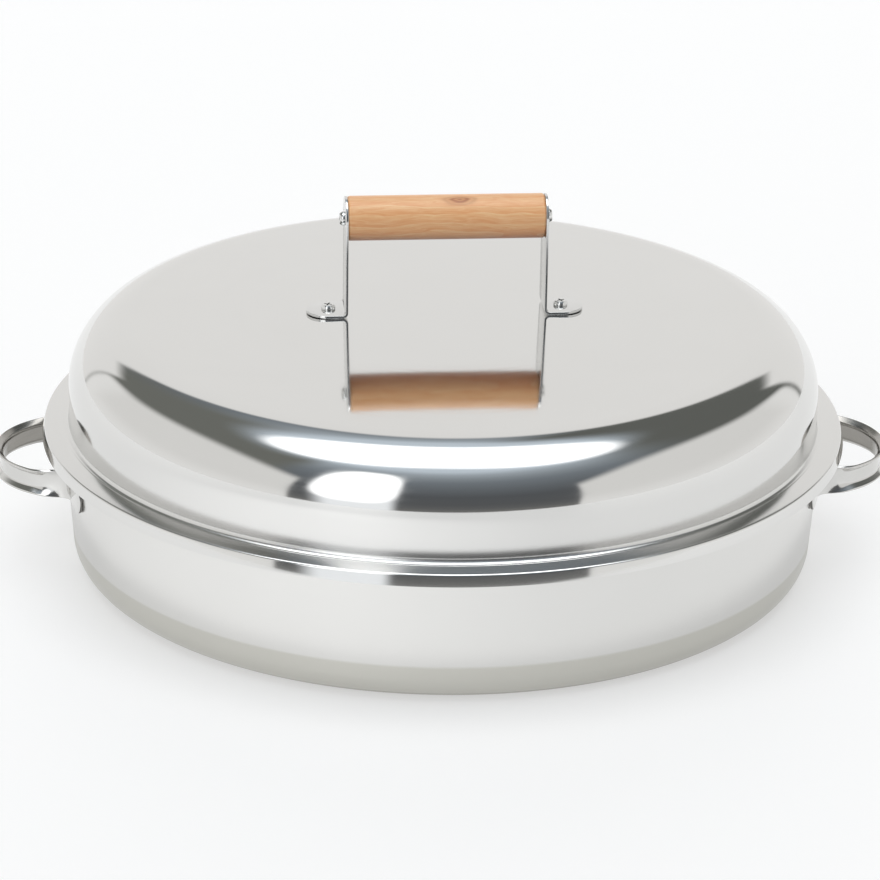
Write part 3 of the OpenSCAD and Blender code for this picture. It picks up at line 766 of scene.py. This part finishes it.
# Food wires of the grate
# Thin straight wires at an even pitch, cut to the ring and welded on top of it and of the cross bars.
food_wire = 2.6
wire_pitch = 13.0
wire_gap = 0.2
wire_margin = 11.0
wire_count = math.floor((ring_r - wire_margin) / wire_pitch)
rack_inputs = {"Lines": "Geometry", "Wires": "Int", "Pitch": "Float", "Ring radius": "Float"}
rack_inputs.update({"Height": "Float", "Wire radius": "Float", "Finish": "Material"})
food_rack = new_tree("food_rack", "GeometryNodeTree", rack_inputs, {"Rack": "Geometry"})
rack_in = food_rack.nodes.new("NodeGroupInput")
rack_out = food_rack.nodes.new("NodeGroupOutput")


def rack_math(kind, *terms):
    return node_sum(food_rack, kind, *terms)


rack_wires = rack_in.outputs["Wires"]
rack_first = rack_math("MULTIPLY", rack_math("SUBTRACT", rack_wires, 1), -0.5)
rack_start = food_rack.nodes.new("ShaderNodeCombineXYZ")
feed(food_rack, rack_start, Y=rack_math("MULTIPLY", rack_first, rack_in.outputs["Pitch"]))
feed(food_rack, rack_start, Z=rack_in.outputs["Height"])
rack_step = food_rack.nodes.new("ShaderNodeCombineXYZ")
feed(food_rack, rack_step, Y=rack_in.outputs["Pitch"])
rack_row = food_rack.nodes.new("GeometryNodeMeshLine")
feed(food_rack, rack_row, Count=rack_wires, Start_Location=rack_start.outputs["Vector"])
feed(food_rack, rack_row, Offset=rack_step.outputs["Vector"])
rack_place = food_rack.nodes.new("ShaderNodeSeparateXYZ")
feed(food_rack, rack_place, Vector=food_rack.nodes.new("GeometryNodeInputPosition").outputs["Position"])
rack_side = rack_math("POWER", rack_place.outputs["Y"], 2)
rack_reach = rack_math("POWER", rack_in.outputs["Ring radius"], 2)
rack_half = rack_math("SQRT", rack_math("SUBTRACT", rack_reach, rack_side))
rack_scale = food_rack.nodes.new("ShaderNodeCombineXYZ")
feed(food_rack, rack_scale, X=rack_half, Y=1.0, Z=1.0)
rack_rod = food_rack.nodes.new("GeometryNodeMeshCylinder")
feed(food_rack, rack_rod, Vertices=16, Radius=rack_in.outputs["Wire radius"], Depth=2.0)
rack_lay = food_rack.nodes.new("GeometryNodeTransform")
feed(food_rack, rack_lay, Geometry=rack_rod.outputs["Mesh"], Rotation=(0, math.pi / 2, 0))
rack_copies = food_rack.nodes.new("GeometryNodeInstanceOnPoints")
feed(food_rack, rack_copies, Points=rack_row.outputs["Mesh"], Instance=rack_lay.outputs["Geometry"])
feed(food_rack, rack_copies, Scale=rack_scale.outputs["Vector"])
rack_real = food_rack.nodes.new("GeometryNodeRealizeInstances")
feed(food_rack, rack_real, Geometry=rack_copies.outputs["Instances"])
rack_paint = food_rack.nodes.new("GeometryNodeSetMaterial")
feed(food_rack, rack_paint, Geometry=rack_real.outputs["Geometry"], Material=rack_in.outputs["Finish"])
feed(food_rack, rack_out, Rack=rack_paint.outputs["Geometry"])
food_wires = new_piece("food_wires", bpy.data.meshes.new("food_wires"))
rack_z = grate_z + frame_wire / 2 + wire_gap + food_wire / 2
rack_values = {"Wires": 2 * wire_count + 1, "Pitch": wire_pitch * mm, "Ring radius": ring_r * mm}
rack_values.update({"Height": rack_z * mm, "Wire radius": food_wire / 2 * mm, "Finish": wire_finish})
run_tree(food_wires, food_rack, rack_values, 40)
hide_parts("grate_wires")
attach(food_wires, "grate")


# Cross bars of the grate
# Two thick straight wires under the food wires, welded with their ends inside the ring.
bar_x = 78.0
bar_reach = math.sqrt((ring_r - frame_wire / 2 - wire_gap) ** 2 - (bar_x + frame_wire / 2) ** 2) - wire_gap
bent_inputs = {"Path": "Geometry", "Wire radius": "Float", "Bend radius": "Float", "Copies": "Int"}
bent_inputs.update({"First turn": "Float", "Finish": "Material"})
bent_wire = new_tree("bent_wire", "GeometryNodeTree", bent_inputs, {"Wire": "Geometry"})
bent_in = bent_wire.nodes.new("NodeGroupInput")
bent_out = bent_wire.nodes.new("NodeGroupOutput")
bent_line = bent_wire.nodes.new("GeometryNodeMeshToCurve")
feed(bent_wire, bent_line, Mesh=bent_in.outputs["Path"])
bent_curve = add_node(bent_wire, "GeometryNodeFilletCurve", mode="POLY")
feed(bent_wire, bent_curve, Curve=bent_line.outputs["Curve"], Count=8, Radius=bent_in.outputs["Bend radius"])
bent_round = bent_wire.nodes.new("GeometryNodeCurvePrimitiveCircle")
feed(bent_wire, bent_round, Resolution=16, Radius=bent_in.outputs["Wire radius"])
bent_sweep = bent_wire.nodes.new("GeometryNodeCurveToMesh")
feed(bent_wire, bent_sweep, Curve=bent_curve.outputs["Curve"], Profile_Curve=bent_round.outputs["Curve"])
feed(bent_wire, bent_sweep, Fill_Caps=True)
bent_spots = bent_wire.nodes.new("GeometryNodeMeshLine")
feed(bent_wire, bent_spots, Count=bent_in.outputs["Copies"], Offset=(0, 0, 0))
bent_index = bent_wire.nodes.new("GeometryNodeInputIndex").outputs["Index"]
bent_share = node_sum(bent_wire, "DIVIDE", bent_index, bent_in.outputs["Copies"])
bent_turn = node_sum(bent_wire, "MULTIPLY_ADD", bent_share, 2 * math.pi, bent_in.outputs["First turn"])
bent_spin = bent_wire.nodes.new("ShaderNodeCombineXYZ")
feed(bent_wire, bent_spin, Z=bent_turn)
bent_copies = bent_wire.nodes.new("GeometryNodeInstanceOnPoints")
feed(bent_wire, bent_copies, Points=bent_spots.outputs["Mesh"], Instance=bent_sweep.outputs["Mesh"])
feed(bent_wire, bent_copies, Rotation=bent_spin.outputs["Vector"])
bent_real = bent_wire.nodes.new("GeometryNodeRealizeInstances")
feed(bent_wire, bent_real, Geometry=bent_copies.outputs["Instances"])
bent_paint = bent_wire.nodes.new("GeometryNodeSetMaterial")
feed(bent_wire, bent_paint, Geometry=bent_real.outputs["Geometry"], Material=bent_in.outputs["Finish"])
feed(bent_wire, bent_out, Wire=bent_paint.outputs["Geometry"])


def grate_part(name, node, points, bend, copies, first_turn):
    piece = new_piece(name, line_mesh(name, [tuple(v * mm for v in point) for point in points]))
    values = {"Wire radius": frame_wire / 2 * mm, "Bend radius": bend * mm, "Copies": copies}
    values.update({"First turn": math.radians(first_turn), "Finish": wire_finish})
    run_tree(piece, bent_wire, values, 40)
    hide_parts(node)
    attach(piece, "grate")


bar_path = [(bar_x, -bar_reach, grate_z), (bar_x, bar_reach, grate_z)]
grate_part("bar_wires", "grate_cross_bars", bar_path, 0, 2, 0)


# Legs of the grate
# Four wires bent to a U and welded inside the ring; their bows stand on the floor of the tray.
leg_w = 34.0
wire_bend = 6.0
leg_low = tray_z + tray_t + wire_gap + frame_wire / 2
leg_top = grate_z + frame_wire / 2 - wire_gap
leg_seat = math.sqrt((ring_r - frame_wire - wire_gap) ** 2 - (leg_w / 2) ** 2)
leg_path = [(leg_seat, -leg_w / 2, leg_top), (leg_seat, -leg_w / 2, leg_low)]
leg_path += [(leg_seat, leg_w / 2, leg_low), (leg_seat, leg_w / 2, leg_top)]
grate_part("leg_wires", "grate_legs", leg_path, wire_bend, 4, 45)


# Lift handles of the grate
# Two wires bent to a bow and welded outside the ring, to lift the hot grate with a hook.
lift_w = 70.0
lift_rise = 16.0
lift_top = grate_z + frame_wire / 2 + lift_rise
lift_low = lift_top - lift_rise - frame_wire
lift_seat = math.sqrt((ring_r + frame_wire + wire_gap) ** 2 - (lift_w / 2) ** 2)
lift_path = [(lift_seat, -lift_w / 2, lift_low), (lift_seat, -lift_w / 2, lift_top)]
lift_path += [(lift_seat, lift_w / 2, lift_top), (lift_seat, lift_w / 2, lift_low)]
grate_part("lift_wires", "grate_lift_handles", lift_path, wire_bend, 2, 0)


# Floor, studio and camera
# A plain pale floor, a soft studio of light cards round the object, and the photograph's viewpoint.
floor = new_piece("floor", bpy.data.meshes.new("floor"))
floor_half = 6.0
floor_z = -0.3 * mm
floor_corners = [(x * floor_half, y * floor_half, floor_z) for x, y in ((-1, -1), (1, -1), (1, 1), (-1, 1))]
floor.data.from_pydata(floor_corners, [], [(0, 1, 2, 3)])
floor_paint = bpy.data.materials.new("pale_floor")
floor_paint.use_nodes = True
floor_tree = floor_paint.node_tree
floor_shader = floor_tree.nodes["Principled BSDF"]
floor_sight = floor_tree.nodes.new("ShaderNodeLightPath")
# In reflections the floor is a darker sheet that glows instead, with a painted pool of light and painted
# shade round the pan's foot.
floor_mirrored = add_node(floor_tree, "ShaderNodeMix", data_type="RGBA")
feed(floor_tree, floor_mirrored, Factor=floor_sight.outputs["Is Glossy Ray"])
feed(floor_tree, floor_mirrored, A=(0.9, 0.9, 0.9, 1), B=(0.36, 0.36, 0.355, 1))
floor_tone = add_node(floor_tree, "ShaderNodeMix", data_type="RGBA")
feed(floor_tree, floor_tone, Factor=floor_sight.outputs["Is Camera Ray"])
feed(floor_tree, floor_tone, A=floor_mirrored.outputs["Result"], B=(0.5, 0.5, 0.5, 1))
floor_place = floor_tree.nodes.new("ShaderNodeTexCoord").outputs["Object"]
floor_reach = add_node(floor_tree, "ShaderNodeVectorMath", operation="DISTANCE")
feed(floor_tree, floor_reach, Vector=floor_place)
floor_reach.inputs[1].default_value = (-0.22, -0.4, 0)
# Painted pool of light, brightest at a spot in front of the pan and to its left.
floor_pool = add_node(floor_tree, "ShaderNodeMapRange", interpolation_type="SMOOTHSTEP")
feed(floor_tree, floor_pool, Value=floor_reach.outputs["Value"], From_Min=0.08, From_Max=0.46)
feed(floor_tree, floor_pool, To_Min=0.76, To_Max=0.58)
floor_span = add_node(floor_tree, "ShaderNodeVectorMath", operation="LENGTH")
feed(floor_tree, floor_span, Vector=floor_place)
# Painted shade: the glow seen in reflections dims in a ring close round the pan.
floor_shade = add_node(floor_tree, "ShaderNodeMapRange", interpolation_type="SMOOTHSTEP")
feed(floor_tree, floor_shade, Value=floor_span.outputs["Value"], From_Min=0.236, From_Max=0.256, To_Min=0.74)
floor_lit = node_sum(floor_tree, "MULTIPLY", floor_pool.outputs["Result"], floor_shade.outputs["Result"])
mirror_glow = node_sum(floor_tree, "MULTIPLY", floor_sight.outputs["Is Glossy Ray"], floor_lit)
seen_glow = 0.5
floor_seen = floor_sight.outputs["Is Camera Ray"]
floor_glow = node_sum(floor_tree, "MULTIPLY_ADD", floor_seen, seen_glow, mirror_glow)
feed(floor_tree, floor_shader, Base_Color=floor_tone.outputs["Result"], Roughness=0.5)
feed(floor_tree, floor_shader, Emission_Color=(1, 1, 1, 1), Emission_Strength=floor_glow)
floor.data.materials.append(floor_paint)

world = bpy.data.worlds.new("studio")
world.use_nodes = True
bpy.context.scene.world = world
studio = world.node_tree


def calc(kind, *terms):
    return node_sum(studio, kind, *terms)


def fade(value, low, high, start=0.0, end=1.0):
    node = add_node(studio, "ShaderNodeMapRange", interpolation_type="SMOOTHSTEP")
    feed(studio, node, Value=value, From_Min=low, From_Max=high, To_Min=start, To_Max=end)
    return node.outputs["Result"]


def card(below, mask, colour):
    node = add_node(studio, "ShaderNodeMix", data_type="RGBA")
    feed(studio, node, Factor=mask, A=below, B=(*colour, 1))
    return node.outputs["Result"]


gaze = studio.nodes.new("ShaderNodeSeparateXYZ")
feed(studio, gaze, Vector=studio.nodes.new("ShaderNodeTexCoord").outputs["Generated"])
height = calc("DEGREES", calc("ARCSINE", gaze.outputs["Z"]))
bearing = calc("DEGREES", calc("ARCTAN2", gaze.outputs["X"], calc("MULTIPLY", gaze.outputs["Y"], -1)))
bearing = calc("WRAP", calc("ADD", bearing, 3), 180, -180)
behind = calc("SUBTRACT", 180, calc("ABSOLUTE", bearing))
room = studio.nodes.new("ShaderNodeValToRGB")
feed(studio, room, Fac=calc("DIVIDE", height, 90))
room_tones = [(0.0, 0.19, 0.19, 0.185), (0.05, 0.135, 0.138, 0.14), (0.12, 0.11, 0.115, 0.12)]
room_tones += [(0.25, 0.105, 0.112, 0.12), (0.37, 0.145, 0.16, 0.175), (0.5, 0.20, 0.225, 0.25)]
room_tones += [(0.57, 0.28, 0.315, 0.345), (0.64, 0.41, 0.46, 0.505), (0.70, 0.63, 0.71, 0.79)]
room.color_ramp.elements[0].position = room_tones[0][0]
room.color_ramp.elements[1].position = room_tones[-1][0]
for tone in room_tones[1:-1]:
    room.color_ramp.elements.new(tone[0])
for stop, tone in zip(room.color_ramp.elements, room_tones):
    stop.color = (*tone[1:], 1)
view = room.outputs["Color"]
left_gap = calc("MULTIPLY", fade(bearing, -165, -140), fade(bearing, -62, -48, 1, 0))
left_gap = calc("MULTIPLY", left_gap, fade(height, 64, 52))
view = card(view, left_gap, (0.175, 0.18, 0.165))
right_gap = calc("MULTIPLY", fade(bearing, 60, 110), fade(bearing, 163, 177, 1, 0))
right_gap = calc("MULTIPLY", right_gap, fade(height, 66, 54))
view = card(view, right_gap, (0.135, 0.14, 0.13))
left_top = calc("MULTIPLY_ADD", calc("POWER", calc("ADD", bearing, 85), 2), -0.0075, 41)
left_wall = calc("MULTIPLY", fade(bearing, -46.5, -44.5, 1, 0), fade(bearing, -139, -136))
left_wall = calc("MULTIPLY", left_wall, fade(calc("SUBTRACT", left_top, height), -4, 4))
view = card(view, left_wall, (0.83, 0.825, 0.81))
left_end = calc("MAXIMUM", fade(bearing, -122, -134), fade(height, 14, -2))
view = card(view, calc("MULTIPLY", left_wall, left_end), (0.92, 0.917, 0.905))
right_top = calc("MULTIPLY_ADD", calc("POWER", calc("SUBTRACT", bearing, 82), 2), -0.009, 42)
right_edge = calc("MULTIPLY_ADD", height, -0.1, bearing)
right_wall = calc("MULTIPLY", fade(right_edge, 39.5, 41.5), fade(bearing, 134, 138, 1, 0))
right_wall = calc("MULTIPLY", right_wall, fade(calc("SUBTRACT", right_top, height), -4, 4))
view = card(view, right_wall, (0.82, 0.815, 0.80))
right_end = calc("MAXIMUM", fade(bearing, 120, 132), fade(height, 14, -2))
view = card(view, calc("MULTIPLY", right_wall, right_end), (0.91, 0.907, 0.895))
back_top = calc("MAXIMUM", calc("MULTIPLY_ADD", calc("POWER", behind, 2), -0.025, 50), 26)
back_wall = calc("MULTIPLY", fade(behind, 43, 40), fade(calc("SUBTRACT", back_top, height), -3, 3))
view = card(view, back_wall, (0.90, 0.893, 0.88))
shade_left = fade(calc("MULTIPLY_ADD", height, 0.1, bearing), -40, -32)
shade = calc("MULTIPLY", shade_left, fade(bearing, -16, -12, 1, 0))
view = card(view, calc("MULTIPLY", shade, fade(height, 58, 40)), (1.05, 1.08, 1.11))
oval_wide = calc("POWER", calc("ABSOLUTE", calc("DIVIDE", calc("ADD", bearing, 27), 13.5)), 3)
oval_tall = calc("POWER", calc("ABSOLUTE", calc("DIVIDE", calc("SUBTRACT", height, 31), 23)), 3)
oval = calc("ADD", oval_wide, oval_tall)
view = card(view, fade(oval, 1.35, 0.75), (1.7, 1.72, 1.74))
ahead = calc("COSINE", calc("RADIANS", bearing))
overhead_low = calc("MULTIPLY_ADD", calc("POWER", ahead, 2), 10.5, calc("MULTIPLY_ADD", ahead, -1, 61))
view = card(view, fade(calc("SUBTRACT", height, overhead_low), -4, 4), (2.6, 2.62, 2.64))
view = card(view, fade(height, -0.5, -1.5), (0.85, 0.85, 0.84))
studio_light = studio.nodes["Background"]
feed(studio, studio_light, Color=view)
paper = studio.nodes.new("ShaderNodeBackground")
feed(studio, paper, Color=(0.93, 0.93, 0.93, 1))
choice = studio.nodes.new("ShaderNodeMixShader")
feed(studio, choice, Fac=studio.nodes.new("ShaderNodeLightPath").outputs["Is Camera Ray"])
studio.links.new(studio_light.outputs["Background"], choice.inputs[1])
studio.links.new(paper.outputs["Background"], choice.inputs[2])
feed(studio, studio.nodes["World Output"], Surface=choice.outputs["Shader"])

lens = bpy.data.cameras.new("viewpoint")
lens.lens = 158.43
lens.sensor_width = 36
lens.clip_end = 50
viewpoint = bpy.data.objects.new("viewpoint", lens)
bpy.context.collection.objects.link(viewpoint)
across = Vector((0.998844, -0.045995, 0.013955))
upward = Vector((0.004321, 0.375083, 0.926981))
toward = Vector((-0.047871, -0.925849, 0.374848))
stance = Matrix((across, upward, toward)).transposed().to_4x4()
stance.translation = (-0.107045, -2.042547, 0.8919)
viewpoint.matrix_world = stance
bpy.context.scene.camera = viewpoint
bpy.context.scene.view_settings.view_transform = "Standard"
